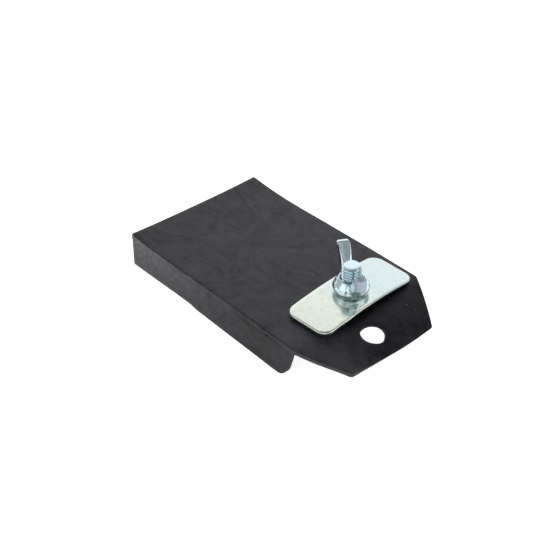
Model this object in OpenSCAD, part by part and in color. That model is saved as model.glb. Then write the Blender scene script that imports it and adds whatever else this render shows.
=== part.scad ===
// Clamp-on rubber hood: an inverted rubber tray with a drooping tab, held down by an arched
// steel plate, a carriage bolt with a square-hole washer, and a wing nut.
// Millimetres. The origin is the middle of the footprint, on the surface that the hood rests on.
// +X points to the tab, +Y to the side that the bolt is set towards, and +Z up.

/* [Rubber hood] */
// Width across the top sheet
hood_w = 85; // [75:1:100]
// Length of the full-width part, from the back edge to where the tab's corners are cut
hood_l = 124; // [115:1:160]
// Height of the top face above the surface the skirt stands on
hood_h = 18; // [17:0.5:30]
// Thickness of the rubber sheet and of the skirt strips
sheet_t = 3; // [2:0.5:4]
// How far the top sheet overhangs the skirt strips
lip = 0.3; // [0.1:0.1:1.5]
// Radius of the lower front corner of each side strip
skirt_corner_r = 5; // [2:0.5:8]

/* [Tab] */
// Length of the tab, past the full-width part
tab_l = 26; // [22:1:40]
// Width of the tab's front edge
tab_end_w = 54; // [40:1:70]
// Radius that the tab's nose droops on
droop_r = 50; // [45:1:200]
// Distance from the front edge back to where the nose starts to droop
droop_l = 22.5; // [10:0.5:22.5]
// Diameter of the spare fixing hole
spare_hole_d = 13; // [9:0.5:16]
// Distance of the spare hole's centre from the front edge, measured flat
spare_hole_back = 11; // [10:0.5:14]
// Sideways offset of the spare hole from the middle
spare_hole_y = -3; // [-6:0.5:6]

/* [Clamp plate] */
// Length of the plate across the hood
plate_l = 66; // [50:1:70]
// Width of the plate along the hood
plate_w = 27; // [22:1:32]
// Thickness of the plate
plate_t = 2; // [1.5:0.1:2.5]
// Rise of the plate's arch in the middle
plate_rise = 2.2; // [0.5:0.1:3]
// Corner radius of the plate
plate_corner_r = 6; // [2:0.5:8]
// Clearance hole in the plate
plate_hole_d = 11; // [10.5:0.1:13]
// Turn of the plate about the bolt, from square across the hood
plate_turn = 3.5; // [-10:0.5:10]

/* [Bolt and backing washer] */
// Distance of the bolt from the tab's front edge
bolt_back = 35.5; // [35:0.5:37]
// Sideways offset of the bolt from the middle
bolt_y = 5.5; // [-6:0.5:6]
// Diameter over the threads
thread_d = 9.9; // [9.8:0.02:9.94]
// Length of the bolt under its head
bolt_l = 25; // [22:1:30]
// Diameter of the domed head
head_d = 21; // [18:0.5:24]
// Height of the domed head
head_h = 4.6; // [3.5:0.1:5.5]
// Width across the flats of the square neck
neck_w = 10; // [9.9:0.05:10.2]
// Outer diameter of the backing washer
washer_d = 25; // [24:0.5:25]
// Thickness of the backing washer
washer_t = 2; // [1.5:0.1:3]
// Square hole in the backing washer
washer_hole_w = 10.5; // [10.3:0.1:11]

/* [Wing nut] */
// Largest diameter of the hub
hub_d = 19; // [18:0.5:21]
// Diameter of the hub's top
hub_top_d = 13; // [12:0.5:15]
// Height of the hub
hub_h = 9.2; // [8:0.1:11]
// Height of the top of the hub's straight belt
hub_belt_h = 4.2; // [2:0.1:6]
// Distance over the two wings
wing_span = 36; // [32:1:40]
// Height of the wings above the base
wing_h = 20; // [17:0.5:22]
// Thickness of a wing
wing_t = 5; // [4:0.25:6]
// Height of a wing's upright outer end
wing_end_h = 8.5; // [8:0.1:12]
// Length of a wing's top edge
wing_crown_l = 6.5; // [6:0.5:9]
// Direction of the wings, from the hood's length, when the nut is tight
wing_turn = -30; // [-90:5:90]
// Diameter of the nut's bore
nut_bore_d = 10; // [10:0.02:10.08]

/* [Hidden] */
$fn = 96;
arch_fn = 360;           // sides of the large circles that the plate's arch is cut from
corner_fn = 32;          // sides of the small circles at a wing's corners
past = 1;                // how far a cutting shape runs past the face that it cuts
flat_gap = 0.05;         // running gap between the plate's crest and the nut's flat base
neck_clear = 0.05;       // radial gap between the neck's rounded corners and the rubber
tip_chamfer = 1.4;       // chamfer on the bolt's tip
base_chamfer = 1;        // chamfer around the nut's base
wing_corner_r = 2;       // radius of a wing's outline at its corners
wing_root_z = 4.5;       // height of the centre of a wing's lowest corner, inside the hub
total_l = hood_l + tab_l;
x_back = -total_l / 2;
x_front = total_l / 2;
x_shoulder = x_back + hood_l;
x_droop = x_front - droop_l;
skirt_h = hood_h - sheet_t;
bolt_x = x_front - bolt_back;
plate_r = (plate_l * plate_l / 4 + plate_rise * plate_rise) / (2 * plate_rise);
plate_crest = hood_h + plate_rise + plate_t;
head_top = skirt_h - washer_t;
neck_l = washer_t + sheet_t;
neck_d = spare_hole_d - 2 * neck_clear;
// The dome's radius follows from its width and height.
dome_r = (head_d * head_d / 4 + head_h * head_h) / (2 * head_h);
// Angle, along the droop, of the spare hole.
hole_angle = (droop_l - spare_hole_back) / droop_r * 180 / PI;

// Plan view of the rubber sheet: a rectangle whose tab has two corners cut off.
module sheet_plan() {
    polygon([
        [x_back, -hood_w / 2],
        [x_shoulder, -hood_w / 2],
        [x_front, -tab_end_w / 2],
        [x_front, tab_end_w / 2],
        [x_shoulder, hood_w / 2],
        [x_back, hood_w / 2],
    ]);
}

// Side view of the rubber sheet: flat, then bending down on droop_r. X is length and Y is height.
module sheet_side() {
    translate([x_back, skirt_h])
        square([x_droop - x_back, sheet_t]);
    difference() {
        translate([x_droop, hood_h - droop_r])
            circle(r = droop_r);
        translate([x_droop, hood_h - droop_r])
            circle(r = droop_r - sheet_t);
        translate([x_droop - 2 * droop_r, hood_h - 3 * droop_r])
            square([2 * droop_r, 4 * droop_r]);
        translate([x_droop - past, hood_h - 3 * droop_r])
            square([2 * droop_r, 2 * droop_r]);
    }
}

// Cutter for a round hole square to the sheet, at a distance given as an angle along the droop.
module hole_at_angle(angle, y, d) {
    translate([x_droop, y, hood_h - droop_r])
        rotate([0, angle, 0])
            translate([0, 0, droop_r - 2 * sheet_t])
                cylinder(d = d, h = 4 * sheet_t);
}

module top_sheet() {
    color("#3c3d42")
        difference() {
            intersection() {
                linear_extrude(height = 2 * hood_h)
                    sheet_plan();
                translate([0, hood_w / 2 + past, 0])
                    rotate([90, 0, 0])
                        linear_extrude(height = hood_w + 2 * past)
                            sheet_side();
            }
            translate([bolt_x, bolt_y, 0])
                cylinder(d = spare_hole_d, h = 2 * hood_h);
            hole_at_angle(hole_angle, spare_hole_y, spare_hole_d);
        }
}

// Side view of a skirt strip, with its lower front corner rounded. X is length and Y is height.
module skirt_side() {
    x0 = x_back + lip;
    x1 = x_shoulder - lip;
    difference() {
        translate([x0, 0])
            square([x1 - x0, skirt_h]);
        translate([x1 - skirt_corner_r, -past])
            square([skirt_corner_r + past, skirt_corner_r + past]);
    }
    intersection() {
        translate([x1 - skirt_corner_r, skirt_corner_r])
            circle(r = skirt_corner_r);
        translate([x1 - skirt_corner_r, 0])
            square([skirt_corner_r, skirt_corner_r]);
    }
}

// A strip along one side of the hood; side is -1 for the left and 1 for the right.
module side_strip(side) {
    y_inner = side * (hood_w / 2 - lip) - side * sheet_t;
    y_high = max(y_inner, y_inner + side * sheet_t);
    color("#4a4b4e")
        translate([0, y_high, 0])
            rotate([90, 0, 0])
                linear_extrude(height = sheet_t)
                    skirt_side();
}

module left_side_strip() {
    side_strip(-1);
}

module right_side_strip() {
    side_strip(1);
}

// The strip across the back stands between the two side strips.
module back_strip() {
    inner_w = hood_w - 2 * (lip + sheet_t);
    color("#46474a")
        translate([x_back + lip, -inner_w / 2, 0])
            cube([sheet_t, inner_w, skirt_h]);
}

// Plan view of the clamp plate, a rectangle with round corners, about its own middle.
module plate_plan() {
    x_in = plate_w / 2 - plate_corner_r;
    y_in = plate_l / 2 - plate_corner_r;
    square([plate_w, 2 * y_in], center = true);
    square([2 * x_in, plate_l], center = true);
    for (sx = [-1, 1], sy = [-1, 1])
        translate([sx * x_in, sy * y_in])
            circle(r = plate_corner_r);
}

// The ring that the plate's arch is a piece of, about its own axis.
module plate_arch() {
    ring_w = plate_w + 2 * past;
    difference() {
        cylinder(r = plate_r + plate_t, h = ring_w, center = true, $fn = arch_fn);
        cylinder(r = plate_r, h = ring_w + 2 * past, center = true, $fn = arch_fn);
    }
}

// The plate is bent along its length into a shallow arch, whose two ends bear on the rubber.
module clamp_plate() {
    color("#d9e4e0")
        translate([bolt_x, bolt_y, 0])
            rotate([0, 0, plate_turn])
                difference() {
                    intersection() {
                        translate([0, 0, hood_h - past])
                            linear_extrude(height = plate_rise + plate_t + 2 * past)
                                plate_plan();
                        translate([0, 0, plate_crest - plate_t - plate_r])
                            rotate([0, 90, 0])
                                plate_arch();
                    }
                    translate([0, 0, hood_h])
                        cylinder(d = plate_hole_d, h = hood_h);
                }
}

// Carriage bolt, head down: a dome, a square neck with rounded corners, and a chamfered shank.
module carriage_bolt() {
    tip_z = head_top + bolt_l;
    color("#c4ccd2")
        translate([bolt_x, bolt_y, 0]) {
            intersection() {
                translate([0, 0, head_top - head_h])
                    cylinder(d = head_d, h = head_h);
                translate([0, 0, head_top - head_h + dome_r])
                    sphere(r = dome_r);
            }
            intersection() {
                translate([-neck_w / 2, -neck_w / 2, head_top])
                    cube([neck_w, neck_w, neck_l]);
                translate([0, 0, head_top])
                    cylinder(d = neck_d, h = neck_l);
            }
            translate([0, 0, head_top + neck_l])
                cylinder(d = thread_d, h = bolt_l - neck_l - tip_chamfer);
            translate([0, 0, tip_z - tip_chamfer])
                cylinder(d1 = thread_d, d2 = thread_d - 2 * tip_chamfer, h = tip_chamfer);
        }
}

module backing_washer() {
    color("#b9c1c6")
        translate([bolt_x, bolt_y, head_top])
            difference() {
                cylinder(d = washer_d, h = washer_t);
                translate([-washer_hole_w / 2, -washer_hole_w / 2, -past])
                    cube([washer_hole_w, washer_hole_w, washer_t + 2 * past]);
            }
}

// Side view of one wing, from the hub's axis outwards: a stem that widens to an upright end.
module wing_side() {
    x_end = wing_span / 2 - wing_corner_r;
    z_crown = wing_h - wing_corner_r;
    corners = [
        [hub_top_d / 2 - wing_corner_r, wing_root_z],
        [hub_top_d / 2 - wing_corner_r, hub_h - wing_corner_r],
        [x_end + 2 * wing_corner_r - wing_crown_l, z_crown],
        [x_end, z_crown],
        [x_end, z_crown + 2 * wing_corner_r - wing_end_h],
    ];
    hull()
        for (corner = corners)
            translate(corner)
                circle(r = wing_corner_r, $fn = corner_fn);
}

// The hub about its own axis: a chamfered base, a straight belt and a cone.
module hub() {
    cylinder(d1 = hub_d - 2 * base_chamfer, d2 = hub_d, h = base_chamfer);
    translate([0, 0, base_chamfer])
        cylinder(d = hub_d, h = hub_belt_h - base_chamfer);
    translate([0, 0, hub_belt_h])
        cylinder(d1 = hub_d, d2 = hub_top_d, h = hub_h - hub_belt_h);
}

module wing_nut() {
    color("#c9d3d9")
        translate([bolt_x, bolt_y, plate_crest + flat_gap])
            rotate([0, 0, wing_turn])
                difference() {
                    union() {
                        hub();
                        for (side = [0, 180])
                            rotate([0, 0, side])
                                translate([0, wing_t / 2, 0])
                                    rotate([90, 0, 0])
                                        linear_extrude(height = wing_t)
                                            wing_side();
                    }
                    translate([0, 0, -past])
                        cylinder(d = nut_bore_d, h = wing_h + 2 * past);
                }
}

top_sheet();
left_side_strip();
right_side_strip();
back_strip();
clamp_plate();
carriage_bolt();
backing_washer();
wing_nut();
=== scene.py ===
"""Looks of a clamp-on rubber hood: rubber sheet and skirt, arched plate, carriage bolt, wing nut.

Everything is in the CAD frame. Shapes are worked out in millimetres and stored in metres.
"""

import math

import bpy
import numpy as np
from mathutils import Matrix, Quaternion, Vector
from mathutils.geometry import delaunay_2d_cdt


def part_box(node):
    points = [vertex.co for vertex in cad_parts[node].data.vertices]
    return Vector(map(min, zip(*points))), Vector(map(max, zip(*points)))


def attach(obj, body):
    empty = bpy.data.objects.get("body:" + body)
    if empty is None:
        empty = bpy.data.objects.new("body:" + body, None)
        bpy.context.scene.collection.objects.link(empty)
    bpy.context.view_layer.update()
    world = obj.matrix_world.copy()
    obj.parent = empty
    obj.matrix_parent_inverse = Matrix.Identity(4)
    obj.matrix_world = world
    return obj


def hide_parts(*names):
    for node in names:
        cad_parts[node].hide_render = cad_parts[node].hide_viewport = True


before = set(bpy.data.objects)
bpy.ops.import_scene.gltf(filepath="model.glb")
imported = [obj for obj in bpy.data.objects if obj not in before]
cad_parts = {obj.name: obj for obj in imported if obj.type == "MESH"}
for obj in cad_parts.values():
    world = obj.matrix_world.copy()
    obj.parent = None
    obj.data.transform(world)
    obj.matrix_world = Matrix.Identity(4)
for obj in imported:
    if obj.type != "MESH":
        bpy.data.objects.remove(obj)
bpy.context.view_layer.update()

MM = 0.001


def box_mm(node):
    """The low and the high corner of a CAD node's box, in millimetres."""
    low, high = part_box(node)
    return np.array(low) / MM, np.array(high) / MM


# ---------------------------------------------------------------- sizes, in millimetres
SHEET_LOW, SHEET_HIGH = box_mm("top_sheet")
STRIP_LOW, STRIP_HIGH = box_mm("left_side_strip")
BACK_LOW, BACK_HIGH = box_mm("back_strip")
BOLT_LOW, BOLT_HIGH = box_mm("carriage_bolt")
WASHER_LOW, WASHER_HIGH = box_mm("backing_washer")
PLATE_TOP = box_mm("clamp_plate")[1][2]
NUT_BASE = box_mm("wing_nut")[0][2]
BOLT_X, BOLT_Y = (BOLT_LOW[:2] + BOLT_HIGH[:2]) / 2

X_BACK, X_FRONT = SHEET_LOW[0], SHEET_HIGH[0]
HALF_W, TOP_Z = SHEET_HIGH[1], SHEET_HIGH[2]
SHEET_T = TOP_Z - STRIP_HIGH[2]
X_SHOULDER = STRIP_HIGH[0] + (STRIP_LOW[0] - X_BACK)
TAB_HALF_W = 27.4
SHEET_ROUNDS = [0.8, 1.5, 2.6, 1.3, 1.5, 0.8]   # of its corners, anticlockwise from the back left one
HOLE_R = 6.5
SPARE_X, SPARE_Y = 63.9, -3.1
SPARE_SQUASH = 0.93      # the spare hole's length, as a share of its width
BOW_START, FRONT_BOW = 68.0, 1.8   # how far the tab's front edge bows out in its middle

# Height of the soft sheet above or below its flat top, as (x, height), along three lines: the left
# edge, the middle and the right edge. It folds at x = 29, where the plate's pull begins.
LEFT_RAIL = [(-75, 1.5), (-67, 0.5), (-56, 0.0), (0, 0.0), (28, -0.05), (31, -0.3), (49, -1.15),
             (54, -2.9), (59, -4.6), (64, -5.9), (69, -7.0), (75, -8.1)]
MIDDLE_RAIL = [(-75, 0.2), (-55, -0.05), (0, 0.0), (29, 0.0), (45, -0.4), (53, -1.1), (64, -2.7),
               (70, -4.7), (76, -9.4)]
RIGHT_RAIL = [(-75, 0.75), (-62, -0.3), (-42, -0.75), (-15, -0.5), (0, -0.2), (15, 0.05), (40, 0.1),
              (49, 0.15), (55, -0.6), (60, -1.9), (65, -3.7), (70, -6.0), (75, -9.2)]
CREASE_X, CREASE_DEPTH = 29.5, 0.35             # a short fold that runs in from the left edge
CREASE_SLANT, CREASE_W, CREASE_L = 1.3, 1.5, 6.0
PINCH_X, PINCH_L, PINCH = -42.0, 25.0, 0.45     # where the right edge is pulled in, and by how much

# Outward lean of the left skirt's lower edge: a quick part, and then a slow one up to the front end.
SPLAY_START, SPLAY_KINK, SPLAY_KINK_L = -30.0, 0.7, 10.0
SPLAY_DELAY, SPLAY_END, SPLAY_END_L = 5.0, 1.9, 63.0
RIGHT_LEAN = 0.4         # the right skirt leans out by this much of the left one's lean
END_SLANT = 2.2          # how far a skirt's free end leans back at the bottom
END_ROUND = 5.5          # the lower corner of a skirt's free end
SKIRT_BOW = 0.12         # how far a skirt wanders in and out
SEAM = 0.1               # how far the sheet stands out past the skirt
OVERLAP = 0.02           # how far a skirt reaches into the sheet


def smooth_step(t):
    """0 up to t = 0, 1 from t = 1, and a smooth rise in between."""
    t = np.clip(t, 0.0, 1.0)
    return t * t * (3 - 2 * t)


def along(x, rail):
    """Smooth curve through a rail's points, and a short way past its ends."""
    px, pz = np.array(rail, float).T
    step = np.diff(pz) / np.diff(px)
    slope = np.concatenate([step[:1], (step[1:] + step[:-1]) / 2, step[-1:]])
    i = np.clip(np.searchsorted(px, x) - 1, 0, len(px) - 2)
    w = px[i + 1] - px[i]
    t = np.clip((x - px[i]) / w, -0.5, 1.2)
    return (
        (1 + 2 * t) * (1 - t) ** 2 * pz[i] + t * (1 - t) ** 2 * w * slope[i]
        + t * t * (3 - 2 * t) * pz[i + 1] + t * t * (t - 1) * w * slope[i + 1]
    )


def sheet_z(x, y):
    """Height of the rubber sheet's top face."""
    x, y = np.asarray(x, float), np.asarray(y, float)
    narrowing = np.clip((x - X_SHOULDER) / (X_FRONT - X_SHOULDER), 0, 1)
    t = y / (HALF_W + (TAB_HALF_W - HALF_W) * narrowing)
    left, middle, right = (along(x, rail) for rail in (LEFT_RAIL, MIDDLE_RAIL, RIGHT_RAIL))
    from_left = y + HALF_W
    crease = CREASE_DEPTH * np.exp(-(((x - CREASE_X + CREASE_SLANT * from_left) / CREASE_W) ** 2))
    crease = crease * smooth_step(1 - from_left / CREASE_L)
    waves = 0.06 * np.sin(x / 15 + 0.6) * np.cos(y / 12 - 0.4) + 0.04 * np.sin(x / 7.3 + y / 9.1)
    across = middle + (right - left) / 2 * t + ((right + left) / 2 - middle) * t * t
    return TOP_Z + across + waves - crease


def pinch(x, y):
    """How far a point on the right is pulled in towards the middle."""
    return PINCH * np.exp(-(((x - PINCH_X) / PINCH_L) ** 2)) * np.clip(y / HALF_W, 0, 1)


# ---------------------------------------------------------------- meshes
ARC_STEPS = 3            # faces across a slab's rounded edge
EDGE_GAP = 0.62          # inner points keep this much of the grid's spacing from a loop's points
SLIVER = 1e-3            # twice the area, in square millimetres, below which a triangle is a stray one


def add_mesh(name, points, faces, material, body, node, sharp_deg=35.0):
    """A smooth-shaded mesh from points in millimetres, riding on a body, in place of a CAD node."""
    mesh = bpy.data.meshes.new(name)
    mesh.from_pydata((np.asarray(points) * MM).tolist(), [], faces)
    mesh.validate()
    mesh.polygons.foreach_set("use_smooth", [True] * len(mesh.polygons))
    mesh.set_sharp_from_angle(angle=math.radians(sharp_deg))
    mesh.update()
    piece = bpy.data.objects.new(name, mesh)
    bpy.context.scene.collection.objects.link(piece)
    mesh.materials.append(material)
    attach(piece, body)
    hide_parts(node)
    return piece


def flipped(faces):
    """The same faces, seen from the other side."""
    return [f[::-1] for f in faces]


def directions(count):
    """Angles evenly spaced round a full turn."""
    return np.arange(count) / count * 2 * math.pi


def circle(cx, cy, r, count):
    """An anticlockwise loop."""
    a = directions(count)
    return np.stack([cx + r * np.cos(a), cy + r * np.sin(a)], axis=1)


def onto_bolt(x, y, turn):
    """Flat points turned about the origin, and then moved onto the bolt's axis."""
    c, s = math.cos(turn), math.sin(turn)
    return BOLT_X + c * x - s * y, BOLT_Y + s * x + c * y


def corner_sides(before, p, after):
    """Directions from a corner to its two neighbours, and half of the angle between them."""
    a = (before - p) / np.linalg.norm(before - p)
    b = (after - p) / np.linalg.norm(after - p)
    return a, b, math.acos(np.clip(a @ b, -1, 1)) / 2


def rounded_polygon(corners, radii, step):
    """A convex outline, anticlockwise, with round corners and about one point every step."""
    corners = np.asarray(corners, float)
    n = len(corners)
    points = []
    for i in range(n):
        p, after, r = corners[i], corners[(i + 1) % n], radii[i]
        a, b, half = corner_sides(corners[i - 1], p, after)
        reach = r / math.tan(half)
        start, end = p + a * reach, p + b * reach
        middle = p + (a + b) / np.linalg.norm(a + b) * r / math.sin(half)
        turn = math.pi - 2 * half
        count = max(4, int(math.ceil(r * turn / step)))
        first = math.atan2(*(start - middle)[::-1])
        for k in range(count + 1):
            angle = first + turn * k / count
            points.append(middle + r * np.array([math.cos(angle), math.sin(angle)]))
        back, _, next_half = corner_sides(p, after, corners[(i + 2) % n])
        stop = after + back * radii[(i + 1) % n] / math.tan(next_half)
        pieces = max(1, int(np.linalg.norm(stop - end) / step))
        points += [end + (stop - end) * k / pieces for k in range(1, pieces)]
    return np.array(points)


def rectangle(low, high, r, step):
    """A rectangle's outline with round corners, from its low and its high corner."""
    (x1, y1), (x2, y2) = low, high
    return rounded_polygon([(x1, y1), (x2, y1), (x2, y2), (x1, y2)], [r] * 4, step)


def inset(loop, d):
    """The loop moved d to its left, which is into the material."""
    ahead = np.roll(loop, -1, axis=0) - loop
    ahead /= np.linalg.norm(ahead, axis=1)[:, None]
    behind = np.roll(ahead, 1, axis=0)
    n1 = np.stack([-behind[:, 1], behind[:, 0]], axis=1)
    n2 = np.stack([-ahead[:, 1], ahead[:, 0]], axis=1)
    return loop + (n1 + n2) / (1 + np.sum(n1 * n2, axis=1))[:, None] * d


def within(points, loop):
    """Which of the points are inside the loop."""
    x, y = points[:, 0], points[:, 1]
    inside = np.zeros(len(points), bool)
    x1, y1 = loop[-1]
    for x2, y2 in loop:
        if y1 != y2:
            inside ^= ((y1 > y) != (y2 > y)) & (x < (x2 - x1) * (y - y1) / (y2 - y1) + x1)
        x1, y1 = x2, y2
    return inside


def in_material(points, loops):
    """Which of the points are inside the first loop and outside all the others."""
    keep = within(points, loops[0])
    for hole in loops[1:]:
        keep &= ~within(points, hole)
    return keep


def fill(loops, d, grid):
    """A flat mesh between the loops, after these are moved d into the material. It is given as the
    points inside it, and as triangles that count the loops' points first and those points last."""
    low, high = loops[0].min(axis=0), loops[0].max(axis=0)
    loops = [inset(loop, d) for loop in loops]
    rows = np.arange(low[1] + grid / 2, high[1], grid * math.sqrt(3) / 2)
    inner = np.array([
        (x + (0.5 * grid if r % 2 else 0.0), y)
        for r, y in enumerate(rows)
        for x in np.arange(low[0] + grid / 2, high[0], grid)
    ])
    keep = in_material(inner, loops)
    for p in np.concatenate(loops):
        keep &= np.sum((inner - p) ** 2, axis=1) > (EDGE_GAP * grid) ** 2
    inner = inner[keep]
    edges, start = [], 0
    for loop in loops:
        n = len(loop)
        edges += [(start + i, start + (i + 1) % n) for i in range(n)]
        start += n
    points = np.concatenate([*loops, inner])
    found = delaunay_2d_cdt([Vector(p) for p in points.tolist()], edges, [], 0, 1e-6)
    made = [ids[0] for ids in found[3]]
    triangles = np.array([[made[i] for i in f] for f in found[2]])
    first, second, third = (points[triangles[:, i]] for i in range(3))
    a, b = second - first, third - first
    turn = a[:, 0] * b[:, 1] - a[:, 1] * b[:, 0]
    triangles[turn < 0] = triangles[turn < 0][:, ::-1]
    middle = points[triangles].mean(axis=1)
    return inner, triangles[in_material(middle, loops) & (abs(turn) > SLIVER)]


def slab(loops, thick, edge_r, place, grid):
    """A watertight slab with rounded edges. The first loop is the outline, anticlockwise; the others
    are holes, clockwise. place(u, v, depth) turns flat points into the final ones."""
    arc = [k / ARC_STEPS * math.pi / 2 for k in range(ARC_STEPS + 1)]
    rings = [(edge_r * (1 - math.sin(a)), edge_r * (1 - math.cos(a))) for a in arc]
    rings += [(d, thick - depth) for d, depth in reversed(rings)]
    flat, faces, top_ids, low_ids, index = [], [], [], [], 0
    for loop in loops:
        n = len(loop)
        flat += [np.column_stack([inset(loop, d), np.full(n, depth)]) for d, depth in rings]
        for base in range(index, index + (len(rings) - 1) * n, n):
            for i in range(n):
                j = (i + 1) % n
                faces.append((base + j, base + i, base + n + i, base + n + j))
        top_ids.append(index + np.arange(n))
        index += len(rings) * n
        low_ids.append(index - n + np.arange(n))
    inner, triangles = fill(loops, edge_r, grid)
    n = len(inner)
    flat += [np.column_stack([inner, np.full(n, depth)]) for depth in (0.0, thick)]
    top = np.concatenate(top_ids + [index + np.arange(n)])
    bottom = np.concatenate(low_ids + [index + n + np.arange(n)])
    faces += [tuple(t) for t in top[triangles].tolist()]
    faces += [tuple(t[::-1]) for t in bottom[triangles].tolist()]
    flat = np.concatenate(flat)
    return place(flat[:, 0], flat[:, 1], flat[:, 2]), faces


def lathe(levels, count):
    """A closed surface round the Z axis. levels are (z, radius), where the radius may be one value
    or one for each of the count directions; the first and last level are closed with a fan."""
    a = directions(count)
    points, faces = [], []
    for z, r in levels:
        r = np.broadcast_to(r, count)
        points.append(np.column_stack([r * np.cos(a), r * np.sin(a), np.full(count, z)]))
    for k in range(len(levels) - 1):
        base = k * count
        for i in range(count):
            j = (i + 1) % count
            faces.append((base + i, base + j, base + count + j, base + count + i))
    last = len(levels) * count
    points.append(np.array([[0.0, 0.0, levels[0][0]], [0.0, 0.0, levels[-1][0]]]))
    faces += [((i + 1) % count, i, last) for i in range(count)]
    faces += [(last - count + i, last - count + (i + 1) % count, last + 1) for i in range(count)]
    return np.concatenate(points), faces


CORNERS = [(i, j, k) for i in (0, 1) for j in (0, 1) for k in (0, 1)]
EDGES = [(a, b) for a in range(8) for b in range(a + 1, 8)
         if sum(abs(p - q) for p, q in zip(CORNERS[a], CORNERS[b])) == 1]
CELLS_ROUND_EDGE = ((-1, -1), (0, -1), (0, 0), (-1, 0))


def surface_of(distance, low, high, cell):
    """Quads on the zero surface of a distance function, settled onto it."""
    axes = [np.arange(low[i], high[i] + cell, cell) for i in range(3)]
    grid = distance(np.stack(np.meshgrid(*axes, indexing="ij"), axis=-1))
    shape = np.array(grid.shape) - 1
    corner = [grid[i:i + shape[0], j:j + shape[1], k:k + shape[2]] for i, j, k in CORNERS]
    total, hits = np.zeros((*shape, 3)), np.zeros(shape)
    for a, b in EDGES:
        ga, gb = corner[a], corner[b]
        crossed = (ga < 0) != (gb < 0)
        t = np.where(crossed, ga / np.where(crossed, ga - gb, 1.0), 0.0)
        for axis in range(3):
            step = CORNERS[a][axis] + t * (CORNERS[b][axis] - CORNERS[a][axis])
            total[..., axis] += np.where(crossed, step, 0.0)
        hits += crossed
    active = hits > 0
    ids = np.full(tuple(shape), -1)
    ids[active] = np.arange(active.sum())
    where = np.argwhere(active)
    points = np.array(low) + cell * (where + total[active] / hits[active][:, None])
    faces = []
    inside = grid < 0
    for axis in range(3):
        u, v = (axis + 1) % 3, (axis + 2) % 3
        first = np.take(inside, range(shape[axis]), axis=axis)
        second = np.take(inside, range(1, shape[axis] + 1), axis=axis)
        for at in np.argwhere(first != second):
            if at[u] < 1 or at[v] < 1 or at[u] >= shape[u] or at[v] >= shape[v]:
                continue
            quad = []
            for du, dv in CELLS_ROUND_EDGE:
                c = at.copy()
                c[u] += du
                c[v] += dv
                quad.append(int(ids[tuple(c)]))
            faces.append(tuple(quad) if first[tuple(at)] else tuple(quad[::-1]))
    for _ in range(4):
        points -= settle(distance, points)
    return points, faces


def settle(distance, points):
    """The step from each point to the zero surface."""
    eps, least_slope, longest = 0.02, 0.2, 0.3
    value = distance(points)
    slope = np.stack([
        (distance(points + eps * axis) - distance(points - eps * axis)) / (2 * eps)
        for axis in np.eye(3)
    ], axis=-1)
    size = np.maximum(np.sum(slope**2, axis=-1), least_slope)
    return slope * (np.clip(value, -longest, longest) / size)[..., None]


# ---------------------------------------------------------------- materials
def linear(r, g, b):
    """An sRGB colour, 0 to 255, as a linear one."""
    def one(c):
        c /= 255
        return c / 12.92 if c <= 0.04045 else ((c + 0.055) / 1.055) ** 2.4
    return (one(r), one(g), one(b), 1.0)


class Shader:
    """A material's node tree, built by short calls. Noise scales are per metre."""

    def __init__(self, name):
        self.material = bpy.data.materials.new(name)
        self.material.use_nodes = True
        self.tree = self.material.node_tree
        self.tree.nodes.clear()
        self.out = self.tree.nodes.new("ShaderNodeOutputMaterial")
        self.bsdf = self.node("ShaderNodeBsdfPrincipled")
        self.tree.links.new(self.bsdf.outputs[0], self.out.inputs["Surface"])
        self.coords = self.node("ShaderNodeTexCoord").outputs["Object"]

    def node(self, kind, **inputs):
        """A new node, with its inputs linked or set."""
        made = self.tree.nodes.new(kind)
        for key, value in inputs.items():
            self.put(made.inputs[key.replace("_", " ")], value)
        return made

    def put(self, socket, value):
        """Link an input to another node's output, or set it to a value."""
        if isinstance(value, bpy.types.NodeSocket):
            self.tree.links.new(value, socket)
        else:
            socket.default_value = value

    def look(self, **inputs):
        """Link or set inputs of the surface itself."""
        for key, value in inputs.items():
            self.put(self.bsdf.inputs[key.replace("_", " ")], value)

    def xyz(self):
        """The three coordinates, in metres."""
        return self.node("ShaderNodeSeparateXYZ", Vector=self.coords).outputs

    def stretched(self, x, y, z):
        """Coordinates with a scale of their own along each axis."""
        made = self.node("ShaderNodeMapping", Vector=self.coords)
        made.inputs["Scale"].default_value = (x, y, z)
        return made.outputs[0]

    def noise(self, vector, scale=1.0, detail=3.0, roughness=0.5, distortion=0.0):
        return self.node("ShaderNodeTexNoise", Vector=vector, Scale=scale, Detail=detail,
                         Roughness=roughness, Distortion=distortion).outputs["Fac"]

    def ramp(self, value, low, high, to_low=0.0, to_high=1.0):
        """The value, moved from the range low to high into the range to_low to to_high."""
        made = self.node("ShaderNodeMapRange", Value=value)
        made.clamp = True
        for key, x in (("From Min", low), ("From Max", high), ("To Min", to_low), ("To Max", to_high)):
            made.inputs[key].default_value = x
        return made.outputs[0]

    def maths(self, kind, a, b):
        made = self.tree.nodes.new("ShaderNodeMath")
        made.operation = kind
        self.put(made.inputs[0], a)
        self.put(made.inputs[1], b)
        return made.outputs[0]

    def times(self, a, b):
        return self.maths("MULTIPLY", a, b)

    def plus(self, a, b):
        return self.maths("ADD", a, b)

    def mix(self, factor, a, b):
        """Colour a where the factor is 0, and colour b where it is 1."""
        made = self.tree.nodes.new("ShaderNodeMix")
        made.data_type = "RGBA"
        self.put(made.inputs["Factor"], factor)
        self.put(made.inputs[6], a)
        self.put(made.inputs[7], b)
        return made.outputs[2]

    def bump(self, height, strength, distance_mm, normal=None):
        """A normal that is tilted by the slope of the height."""
        made = self.node("ShaderNodeBump", Height=height, Strength=strength)
        made.inputs["Distance"].default_value = distance_mm * MM
        if normal is not None:
            self.put(made.inputs["Normal"], normal)
        return made.outputs[0]


DUST = linear(150, 150, 148)
TAB_PAINTED_SHADE, TAB_PAINTED_LIGHT = linear(3, 3, 6), linear(62, 62, 64)
STAIN = linear(150, 158, 160)
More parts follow.
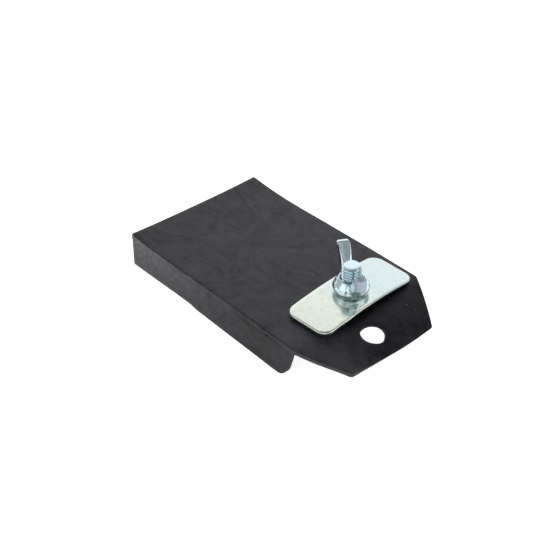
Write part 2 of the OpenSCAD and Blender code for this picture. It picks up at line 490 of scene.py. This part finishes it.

# Ranges in metres over which the rubber's painted shade and painted light fade in.
TAB_X = (0.036, 0.054)
TAB_SHADE_Y, TAB_LIGHT_Y = (-0.022, -0.006), (-0.018, -0.028)
BACK_LIGHT_X, BACK_LIGHT_Z = (0.01, -0.07), (0.004, 0.016)


def rubber(name, dark, light, shine, roughness, painted_light_slope=0.0, painted_back_light=None, chipped=0.0):
    """Matt black rubber: clouded, streaked along its length, with a few specks of dust. The tab has
    painted shade on its right, darker and with less shine, and painted light that makes it paler at its
    left edge. The slope argument paints light along the length, making the rubber paler towards the
    front; the back colour is painted light towards the back and the top; and chipped says how much of it
    is covered in pale chips."""
    s = Shader(name)
    cloud = s.noise(s.coords, scale=40.0, detail=6.0, roughness=0.6, distortion=3.2)
    streak = s.noise(s.stretched(30.0, 120.0, 120.0), detail=6.0, roughness=0.65, distortion=2.4)
    patchy = s.noise(s.coords, scale=620.0, roughness=0.65)
    mottle = s.plus(s.times(cloud, 0.45), s.times(streak, 0.38))
    mottle = s.plus(mottle, s.times(patchy, 0.17))
    at = s.xyz()
    # Painted light along the length: paler towards the front for a positive slope, towards the back for
    # a negative one.
    mottle = s.plus(mottle, s.times(at["X"], painted_light_slope))
    # Painted shade on the tab's right, in the plate's shade, and painted light at its left edge.
    tab = s.ramp(at["X"], *TAB_X)
    tab_painted_shade = s.times(tab, s.ramp(at["Y"], *TAB_SHADE_Y))
    tab_painted_light = s.times(tab, s.ramp(at["Y"], *TAB_LIGHT_Y))
    colour = s.mix(s.ramp(mottle, 0.39, 0.62), dark, light)
    colour = s.mix(s.times(tab_painted_shade, 0.8), colour, TAB_PAINTED_SHADE)
    colour = s.mix(s.times(tab_painted_light, 0.5), colour, TAB_PAINTED_LIGHT)
    # Painted light: paler towards the back and the top, in blotches.
    if painted_back_light:
        back = s.ramp(at["X"], *BACK_LIGHT_X)
        upper = s.ramp(at["Z"], *BACK_LIGHT_Z, to_low=0.6)
        back_light_blotches = s.ramp(s.noise(s.coords, scale=330.0, detail=5.0, roughness=0.75), 0.38, 0.62, to_low=0.3)
        colour = s.mix(s.times(s.times(back, upper), back_light_blotches), colour, painted_back_light)
    cells = s.node("ShaderNodeTexVoronoi", Vector=s.coords, Scale=230.0)
    pick = s.node("ShaderNodeSeparateColor", Color=cells.outputs["Color"]).outputs[0]
    dust = s.times(s.ramp(cells.outputs["Distance"], 0.075, 0.04), s.ramp(pick, 0.86, 0.9))
    if chipped:
        chips = s.ramp(s.noise(s.coords, scale=900.0, detail=4.0, roughness=0.7), 0.56, 0.66)
        dust = s.maths("MAXIMUM", dust, s.times(chips, chipped))
    # Less shine in the tab's painted shade.
    shine_left_in_tab_shade = s.maths("SUBTRACT", 1.0, s.times(tab_painted_shade, 0.45))
    wide = s.noise(s.stretched(60.0, 110.0, 110.0), distortion=0.8)
    fine = s.noise(s.coords, scale=2600.0, roughness=0.6)
    s.look(
        Base_Color=s.mix(s.times(dust, 0.7), colour, DUST),
        Roughness=s.ramp(mottle, 0.38, 0.62, *roughness),
        Specular_IOR_Level=s.times(s.ramp(mottle, 0.38, 0.62, *shine), shine_left_in_tab_shade),
        Normal=s.bump(fine, 0.35, 0.03, normal=s.bump(wide, 0.6, 0.16)),
    )
    return s.material


def zinc(name, cool, warm, roughness, scratch, forged, drift=0.0, metallic=1.0):
    """Bright zinc plating with patches of blue and yellow, stains and fine scratches. scratch and
    forged are the depths of its scratches and dents. drift turns it warmer towards the left."""
    s = Shader(name)
    patches = s.noise(s.coords, scale=30.0, detail=2.0, distortion=0.4)
    patches = s.maths("SUBTRACT", patches, s.times(s.xyz()["Y"], drift))
    stain = s.noise(s.coords, scale=380.0, detail=4.0, roughness=0.6)
    colour = s.mix(s.ramp(patches, 0.36, 0.64), cool, warm)
    scratches = s.noise(s.stretched(4200.0, 90.0, 400.0), roughness=0.6, distortion=0.2)
    dents = s.noise(s.coords, scale=240.0, distortion=0.4)
    s.look(
        Base_Color=s.mix(s.times(s.ramp(stain, 0.55, 0.75), 0.18), colour, STAIN),
        Metallic=metallic,
        Roughness=s.ramp(stain, 0.3, 0.7, *roughness),
        Normal=s.bump(scratches, scratch, 0.012, normal=s.bump(dents, forged, 0.12)),
    )
    return s.material


# A little painted light towards the front.
RUBBER_TOP = rubber(
    "rubber_top", dark=linear(2, 2, 6), light=linear(48, 48, 61),
    shine=(0.28, 0.62), roughness=(0.44, 0.60), painted_light_slope=0.4,
)
# Painted light towards the back and the top of the skirts.
RUBBER_SKIRT = rubber(
    "rubber_skirt", dark=linear(22, 22, 24), light=linear(60, 60, 62),
    shine=(0.22, 0.42), roughness=(0.58, 0.8), painted_light_slope=-0.5, painted_back_light=linear(101, 101, 103),
)
# Painted shade along the sheet's edge above the skirts, with real pale chips.
RUBBER_RIM_PAINTED_SHADE = rubber(
    "rubber_rim_painted_shade", dark=linear(6, 6, 7), light=linear(20, 20, 22),
    shine=(0.05, 0.3), roughness=(0.6, 0.8), chipped=0.35,
)
ZINC_PLATE = zinc(
    "zinc_plate", cool=linear(194, 208, 209), warm=linear(215, 222, 211),
    roughness=(0.14, 0.24), scratch=0.10, forged=0.04, drift=8.0,
)
ZINC_PARTS = zinc(
    "zinc_fastener", cool=linear(196, 218, 228), warm=linear(212, 226, 228),
    roughness=(0.15, 0.25), scratch=0.08, forged=0.2,
)
ZINC_SATIN = zinc(
    "zinc_satin", cool=linear(168, 188, 200), warm=linear(178, 194, 202),
    roughness=(0.46, 0.56), scratch=0.05, forged=0.1, metallic=0.6,
)


# ---------------------------------------------------------------- rubber sheet
def place_sheet(x, y, depth):
    """The sheet's thickness is measured square to its top face."""
    eps = 0.05
    z = sheet_z(x, y)
    slope_x = (sheet_z(x + eps, y) - sheet_z(x - eps, y)) / (2 * eps)
    slope_y = (sheet_z(x, y + eps) - sheet_z(x, y - eps)) / (2 * eps)
    size = np.sqrt(1 + slope_x**2 + slope_y**2)
    bow = FRONT_BOW * (1 - (y / TAB_HALF_W) ** 2) * smooth_step((x - BOW_START) / (X_FRONT - BOW_START))
    return np.stack([
        x + depth * slope_x / size + np.clip(bow, 0, None),
        y + depth * slope_y / size - pinch(x, y),
        z - depth / size,
    ], axis=1)


sheet_corners = [
    (X_BACK, -HALF_W), (X_SHOULDER, -HALF_W), (X_FRONT, -TAB_HALF_W),
    (X_FRONT, TAB_HALF_W), (X_SHOULDER, HALF_W), (X_BACK, HALF_W),
]
sheet_loops = [
    rounded_polygon(sheet_corners, SHEET_ROUNDS, step=1.0),
    circle(BOLT_X, BOLT_Y, HOLE_R, 48)[::-1],
    circle(0, 0, HOLE_R, 72)[::-1] * [SPARE_SQUASH, 1.0] + [SPARE_X, SPARE_Y],
]
points, faces = slab(sheet_loops, SHEET_T, edge_r=0.28, place=place_sheet, grid=1.6)
sheet = add_mesh("hood_top", points, faces, RUBBER_TOP, "hood", "top_sheet")

# The sheet's upright cut faces look like the skirt. Its rounded edge above a side skirt is chipped, and
# painted darker with little shine as a painted shade line along the edge.
CUT_EDGE, PAINTED_SHADE_RIM = 1, 2
CUT_EDGE_SLOPE, RIM_SLOPE, RIM_W = 0.55, 0.97, 2.0
sheet.data.materials.append(RUBBER_SKIRT)
sheet.data.materials.append(RUBBER_RIM_PAINTED_SHADE)
for face in sheet.data.polygons:
    beside_skirt = face.center.x / MM < STRIP_HIGH[0] and abs(face.center.y) / MM > HALF_W - RIM_W
    if abs(face.normal.z) < CUT_EDGE_SLOPE:
        face.material_index = CUT_EDGE
    elif face.normal.z < RIM_SLOPE and beside_skirt:
        face.material_index = PAINTED_SHADE_RIM


# ---------------------------------------------------------------- skirts
def skirt_bottom(x, side):
    """Unevenness of a side strip's lower edge."""
    return 0.07 * np.sin(x / 11.0 + side) + 0.05 * np.sin(x / 4.7 + 2 * side)


def place_side(side, lean):
    """Side -1 is the left strip and 1 the right one; its lower edge leans out towards the front."""
    height = STRIP_HIGH[2]

    def place(x, v, depth):
        share = 1 - v / height
        splay = SPLAY_KINK * smooth_step((x - SPLAY_START) / SPLAY_KINK_L)
        splay = splay + SPLAY_END * np.clip((x - SPLAY_START - SPLAY_DELAY) / SPLAY_END_L, 0, 1)
        bow = SKIRT_BOW * np.sin(x / 15.0 + 1.3) * np.sin(share * math.pi)
        top = sheet_z(x, side * HALF_W) - SHEET_T + OVERLAP
        z = v / height * top + np.clip(skirt_bottom(x, side), 0, None) * share
        y = side * (HALF_W - SEAM + lean * splay * share + bow - depth)
        return np.stack([x, y - pinch(x, y), z], axis=1)

    return place


def place_back(y, v, depth):
    """The back strip follows the sheet above it and wanders a little at the bottom."""
    top = sheet_z(np.full_like(y, BACK_LOW[0] + 1), y) - SHEET_T + OVERLAP
    share = 1 - v / BACK_HIGH[2]
    x = BACK_LOW[0] + depth + SKIRT_BOW * np.sin(y / 14.0) * share
    return np.stack([x, y, v / BACK_HIGH[2] * top], axis=1)


strip_corners = [
    (STRIP_LOW[0], 0.0), (STRIP_HIGH[0] - END_SLANT, 0.0),
    (STRIP_HIGH[0], STRIP_HIGH[2]), (STRIP_LOW[0], STRIP_HIGH[2]),
]
strip_loop = rounded_polygon(strip_corners, [0.6, END_ROUND, 0.6, 0.6], step=1.0)
for name, side, lean, node in (
    ("skirt_left", -1, 1.0, "left_side_strip"),
    ("skirt_right", 1, RIGHT_LEAN, "right_side_strip"),
):
    points, faces = slab([strip_loop], SHEET_T, edge_r=0.2, place=place_side(side, lean), grid=1.5)
    if side > 0:
        faces = flipped(faces)
    add_mesh(name, points, faces, RUBBER_SKIRT, "hood", node)

back_loop = rectangle((BACK_LOW[1], 0.0), (BACK_HIGH[1], BACK_HIGH[2]), r=0.5, step=1.2)
points, faces = slab([back_loop], SHEET_T, edge_r=0.3, place=place_back, grid=1.8)
add_mesh("skirt_back", points, flipped(faces), RUBBER_SKIRT, "hood", "back_strip")

# ---------------------------------------------------------------- plate
PLATE_L, PLATE_W, PLATE_T, PLATE_R, PLATE_BORE_R = 66.0, 27.0, 2.0, 6.0, 5.5
PLATE_TURN, PLATE_TILT, PLATE_BEND = math.radians(3.6), -0.023, 0.00195
PLATE_CREST = PLATE_TOP + 0.04


def place_plate(u, v, depth):
    """The plate arches along v, which is its length, and tilts a little along u."""
    rise = -PLATE_BEND * v**2 + 0.05 * np.sin(v / 9.0 + 0.5) + PLATE_TILT * u
    lean = 2 * PLATE_BEND * v
    return np.stack([*onto_bolt(u, v - depth * lean, PLATE_TURN), PLATE_CREST + rise - depth], axis=1)


plate_loops = [
    rectangle((-PLATE_W / 2, -PLATE_L / 2), (PLATE_W / 2, PLATE_L / 2), r=PLATE_R, step=0.8),
    circle(0, 0, PLATE_BORE_R, 64)[::-1],
]
points, faces = slab(plate_loops, PLATE_T, edge_r=0.55, place=place_plate, grid=1.3)
add_mesh("plate", points, faces, ZINC_PLATE, "plate", "clamp_plate")

# ---------------------------------------------------------------- washer
WASHER_R, WASHER_T = (WASHER_HIGH[0] - WASHER_LOW[0]) / 2, WASHER_HIGH[2] - WASHER_LOW[2]
SQUARE_HALF = 5.25


def place_washer(u, v, depth):
    """The washer lies flat under the tab."""
    return np.stack([BOLT_X + u, BOLT_Y + v, WASHER_HIGH[2] - depth], axis=1)


square_hole = rectangle((-SQUARE_HALF, -SQUARE_HALF), (SQUARE_HALF, SQUARE_HALF), r=0.5, step=0.8)
washer_loops = [circle(0, 0, WASHER_R, 96), square_hole[::-1]]
points, faces = slab(washer_loops, WASHER_T, edge_r=0.3, place=place_washer, grid=1.6)
add_mesh("washer", points, faces, ZINC_PARTS, "bolt", "backing_washer")

# ---------------------------------------------------------------- carriage bolt
HEAD_R = (BOLT_HIGH[0] - BOLT_LOW[0]) / 2
HEAD_H = 4.6
HEAD_TOP = BOLT_LOW[2] + HEAD_H
HEAD_EDGE = 0.3
TIP_Z = BOLT_HIGH[2]
NECK_W, NECK_CORNER_R, NECK_TOP = 10.0, 6.4, TOP_Z - 0.4
THREAD_R, THREAD_DEPTH, PITCH = 4.95, 0.9, 1.5
THREAD_PHASE, THREAD_ROOT, THREAD_FLANK = 0.15, 0.16, 0.68   # shares of one turn of the thread
THREAD_ROW = 0.115       # height of one row of the thread's faces
TIP_FLAT_R, TIP_CHAMFER_H = 3.9, 1.15
AROUND = 120
angle = directions(AROUND)


def thread_radius(z):
    """The thread's radius in each direction, at one height."""
    turn = (z / PITCH - angle / (2 * math.pi) + THREAD_PHASE) % 1.0
    height = np.clip((abs(2 * turn - 1) - THREAD_ROOT) / THREAD_FLANK, 0, 1)
    return THREAD_R - THREAD_DEPTH * (1 - height)


dome_r = (HEAD_R**2 + HEAD_H**2) / (2 * HEAD_H)
dome_end = math.asin((HEAD_R - HEAD_EDGE) / dome_r)
levels = [
    (BOLT_LOW[2] + dome_r * (1 - math.cos(a)), dome_r * math.sin(a))
    for a in np.linspace(0.04, dome_end, 14)
]
levels += [
    (HEAD_TOP - 0.5, HEAD_R - 0.05), (HEAD_TOP - 0.3, HEAD_R), (HEAD_TOP - 0.1, HEAD_R - 0.08),
    (HEAD_TOP, HEAD_R - HEAD_EDGE), (HEAD_TOP, NECK_CORNER_R + 0.6),
]
square = np.minimum(NECK_W / 2 / np.maximum(abs(np.cos(angle)), abs(np.sin(angle))), NECK_CORNER_R)
levels += [(HEAD_TOP, square), (NECK_TOP - 0.3, square), (NECK_TOP, np.minimum(square, THREAD_R + 0.2))]
for z in np.arange(NECK_TOP + 0.1, TIP_Z - 0.02, THREAD_ROW):
    cut = THREAD_R - max(0.0, z - (TIP_Z - TIP_CHAMFER_H)) * (THREAD_R - TIP_FLAT_R) / TIP_CHAMFER_H
    levels.append((z, np.minimum(thread_radius(z), cut)))
levels += [(TIP_Z, TIP_FLAT_R - 0.12), (TIP_Z - 0.04, TIP_FLAT_R * 0.6)]
points, faces = lathe(levels, AROUND)
points = points + [BOLT_X, BOLT_Y, 0]
add_mesh("bolt", points, faces, ZINC_PARTS, "bolt", "carriage_bolt", sharp_deg=40.0)

# ---------------------------------------------------------------- wing nut
NUT_TURN = math.radians(-29)
HUB_OUTLINE = np.array([
    (-1.0, 0.25), (7.9, 0.25), (8.5, 1.4), (9.0, 2.9), (9.0, 3.7), (8.3, 5.3), (7.1, 7.2),
    (6.2, 8.2), (-1.0, 8.2),
])
HUB_ROUND = 0.3
WING_OUTLINE = np.array([
    (3.5, 3.4), (8.0, 5.2), (16.6, 12.4), (16.7, 17.5), (13.0, 18.9), (7.4, 6.6), (3.5, 6.0),
])
WING_ROUND = 1.6
WING_HALF_T, WING_EDGE = 2.9, 1.3
WING_KEEL, WING_RIDGE = 0.42, 0.8   # how steeply a wing's narrow faces fall off to both sides

# The wing on the side of -x is not quite the same: its narrow faces level out from FLAT_Z upwards,
# and its crown is thicker on one side from FLARE_Z upwards.
FLAT_Z, FLAT_H = 15.5, 3.0
FLARE, FLARE_Z, FLARE_H = 1.5, 17.8, 2.2
WING_BLEND, BORE_BLEND = 1.8, 0.3
BORE_R, COUNTERSINK_R, COUNTERSINK_Z, COUNTERSINK_SLOPE = 5.1, 5.8, 8.45, 0.8
FORGED = 0.05            # unevenness of the forging


def to_outline(u, v, outline):
    """Signed distance from flat points to a closed outline."""
    best = np.full(u.shape, 1e9)
    inside = np.zeros(u.shape, bool)
    x1, y1 = outline[-1]
    for x2, y2 in outline:
        ex, ey = x2 - x1, y2 - y1
        t = np.clip(((u - x1) * ex + (v - y1) * ey) / (ex * ex + ey * ey), 0, 1)
        best = np.minimum(best, (u - x1 - t * ex) ** 2 + (v - y1 - t * ey) ** 2)
        if y1 != y2:
            inside ^= ((y1 > v) != (y2 > v)) & (u < ex * (v - y1) / ey + x1)
        x1, y1 = x2, y2
    return np.where(inside, -1.0, 1.0) * np.sqrt(best)


def blend_min(a, b, k):
    """The smaller of two distances, with a fillet of about k between them."""
    h = np.clip(0.5 + 0.5 * (b - a) / k, 0, 1)
    return b * (1 - h) + a * h - k * h * (1 - h)


def nut_distance(p):
    """Distance to the wing nut about its own axis, with its wings along X."""
    x, y, z = p[..., 0], p[..., 1], p[..., 2]
    rho = np.sqrt(x * x + y * y)
    hub = to_outline(rho, z, HUB_OUTLINE) - HUB_ROUND
    sense = np.where(x > 0, 1.0, -1.0)
    flared_wing = smooth_step(-x / 4)
    keel = WING_KEEL * (1 - flared_wing * smooth_step((z - FLAT_Z) / FLAT_H))
    flat = to_outline(abs(x), z, WING_OUTLINE) - WING_ROUND
    flat = flat + keel * (np.sqrt(y * y + WING_RIDGE**2) - WING_RIDGE)
    flare = FLARE * smooth_step((z - FLARE_Z) / FLARE_H) * flared_wing
    across = abs(y - sense * 0.5 * flare) - (WING_HALF_T + 0.5 * flare)
    a, b = flat + WING_EDGE, across + WING_EDGE
    wing = np.minimum(np.maximum(a, b), 0) + np.hypot(np.maximum(a, 0), np.maximum(b, 0)) - WING_EDGE
    body = np.maximum(blend_min(hub, wing, WING_BLEND), -z)
    forged = FORGED * np.sin(x * 0.9 + 1) * np.sin(y * 1.1) * np.sin(z * 0.8 + 0.5)
    countersink = (rho - (COUNTERSINK_R + (z - COUNTERSINK_Z) * COUNTERSINK_SLOPE)) * 0.78
    return -blend_min(-(body + forged), np.minimum(rho - BORE_R, countersink), BORE_BLEND)


local, faces = surface_of(nut_distance, low=(-19.0, -10.5, -0.7), high=(19.0, 10.5, 21.0), cell=0.36)
points = np.column_stack([*onto_bolt(local[:, 0], local[:, 1], NUT_TURN), NUT_BASE + local[:, 2]])
nut = add_mesh("nut", points, faces, ZINC_PARTS, "nut", "wing_nut", sharp_deg=60.0)

# The crown and the end of the wing on the side of +x are satin.
CROWN_Z, END_X, END_Z = 19.0, 15.6, 12.0
nut.data.materials.append(ZINC_SATIN)
for face in nut.data.polygons:
    x, _, z = local[list(face.vertices)].mean(axis=0)
    face.material_index = int(x > 0 and (z > CROWN_Z or x > END_X and z > END_Z))

# ---------------------------------------------------------------- floor, lights, cards, camera
FLOOR_HALF, FLOOR_Z = 4.0, -2e-4
LIGHT_AIM = Vector((0.0, 0.0, 0.02))

floor_shader = Shader("floor")
floor_shader.look(Base_Color=(0.9, 0.9, 0.9, 1), Roughness=0.9, Emission_Color=(1, 1, 1, 1),
                  Emission_Strength=0.86)
card_shader = Shader("flag")
card_shader.look(Base_Color=(0.02, 0.02, 0.02, 1))


def toward(location, target):
    """The rotation that points a lamp's or a camera's -Z from its location to the target."""
    return (target - Vector(location)).to_track_quat("-Z", "Y")


def panel(name, corners, material):
    """A four-cornered face of the studio, which is no part of the object."""
    mesh = bpy.data.meshes.new(name)
    mesh.from_pydata(corners, [], [(0, 1, 2, 3)])
    mesh.materials.append(material)
    piece = bpy.data.objects.new(name, mesh)
    bpy.context.scene.collection.objects.link(piece)


def softbox(name, at, size, power):
    """A large soft light that faces the object."""
    light = bpy.data.lights.new(name, "AREA")
    light.shape = "RECTANGLE"
    light.size, light.size_y = size
    light.energy = power
    lamp = bpy.data.objects.new(name, light)
    lamp.location = at
    lamp.rotation_mode = "QUATERNION"
    lamp.rotation_quaternion = toward(at, LIGHT_AIM)
    bpy.context.scene.collection.objects.link(lamp)


def flag(name, at, width, tall):
    """An upright dark card that faces the object, for the metal parts to reflect."""
    across = Vector((-at[1], at[0], 0.0)).normalized() * (width / 2)
    upward = Vector((0.0, 0.0, tall / 2))
    at = Vector(at)
    panel(name, [at - across - upward, at + across - upward, at + across + upward, at - across + upward],
          card_shader.material)


panel("floor", [
    (-FLOOR_HALF, -FLOOR_HALF, FLOOR_Z), (FLOOR_HALF, -FLOOR_HALF, FLOOR_Z),
    (FLOOR_HALF, FLOOR_HALF, FLOOR_Z), (-FLOOR_HALF, FLOOR_HALF, FLOOR_Z),
], floor_shader.material)
softbox("light_back", (-1.15, 1.1, 1.15), (3.0, 1.8), 13.5)
softbox("light_left", (0.0, -1.5, 0.7), (1.8, 1.1), 5.4)
softbox("light_right", (1.35, 0.5, 0.5), (1.0, 0.7), 2.5)
flag("flag_front", (0.93, -0.27, 0.35), 0.42, 0.7)
flag("flag_left", (0.33, -1.25, 0.45), 0.28, 0.9)

# The sky's light is weaker overhead than near the horizon.
world = bpy.data.worlds.new("studio")
world.use_nodes = True
sky = world.node_tree
towards = sky.nodes.new("ShaderNodeTexCoord")
height = sky.nodes.new("ShaderNodeSeparateXYZ")
fade = sky.nodes.new("ShaderNodeMapRange")
sky.links.new(towards.outputs["Generated"], height.inputs[0])
sky.links.new(height.outputs["Z"], fade.inputs["Value"])
for socket, value in (("From Min", 0.55), ("From Max", 0.85), ("To Min", 0.56), ("To Max", 0.20)):
    fade.inputs[socket].default_value = value
background = sky.nodes["Background"]
background.inputs["Color"].default_value = (1, 1, 1, 1)
sky.links.new(fade.outputs[0], background.inputs["Strength"])
bpy.context.scene.world = world
bpy.context.scene.view_settings.view_transform = "Standard"

VIEWER_AT, VIEWER_AIM = (0.4185, -0.3851, 0.4332), Vector((-0.00244, -0.00344, 0.010))
VIEWER_ROLL = Quaternion((0, 0, 1), math.radians(0.217))
camera = bpy.data.cameras.new("camera")
camera.lens, camera.sensor_width = 89.2, 36.0
camera.clip_start, camera.clip_end = 0.05, 20.0
viewer = bpy.data.objects.new("camera", camera)
viewer.location = VIEWER_AT
viewer.rotation_mode = "QUATERNION"
viewer.rotation_quaternion = toward(VIEWER_AT, VIEWER_AIM) @ VIEWER_ROLL
bpy.context.scene.collection.objects.link(viewer)
bpy.context.scene.camera = viewer
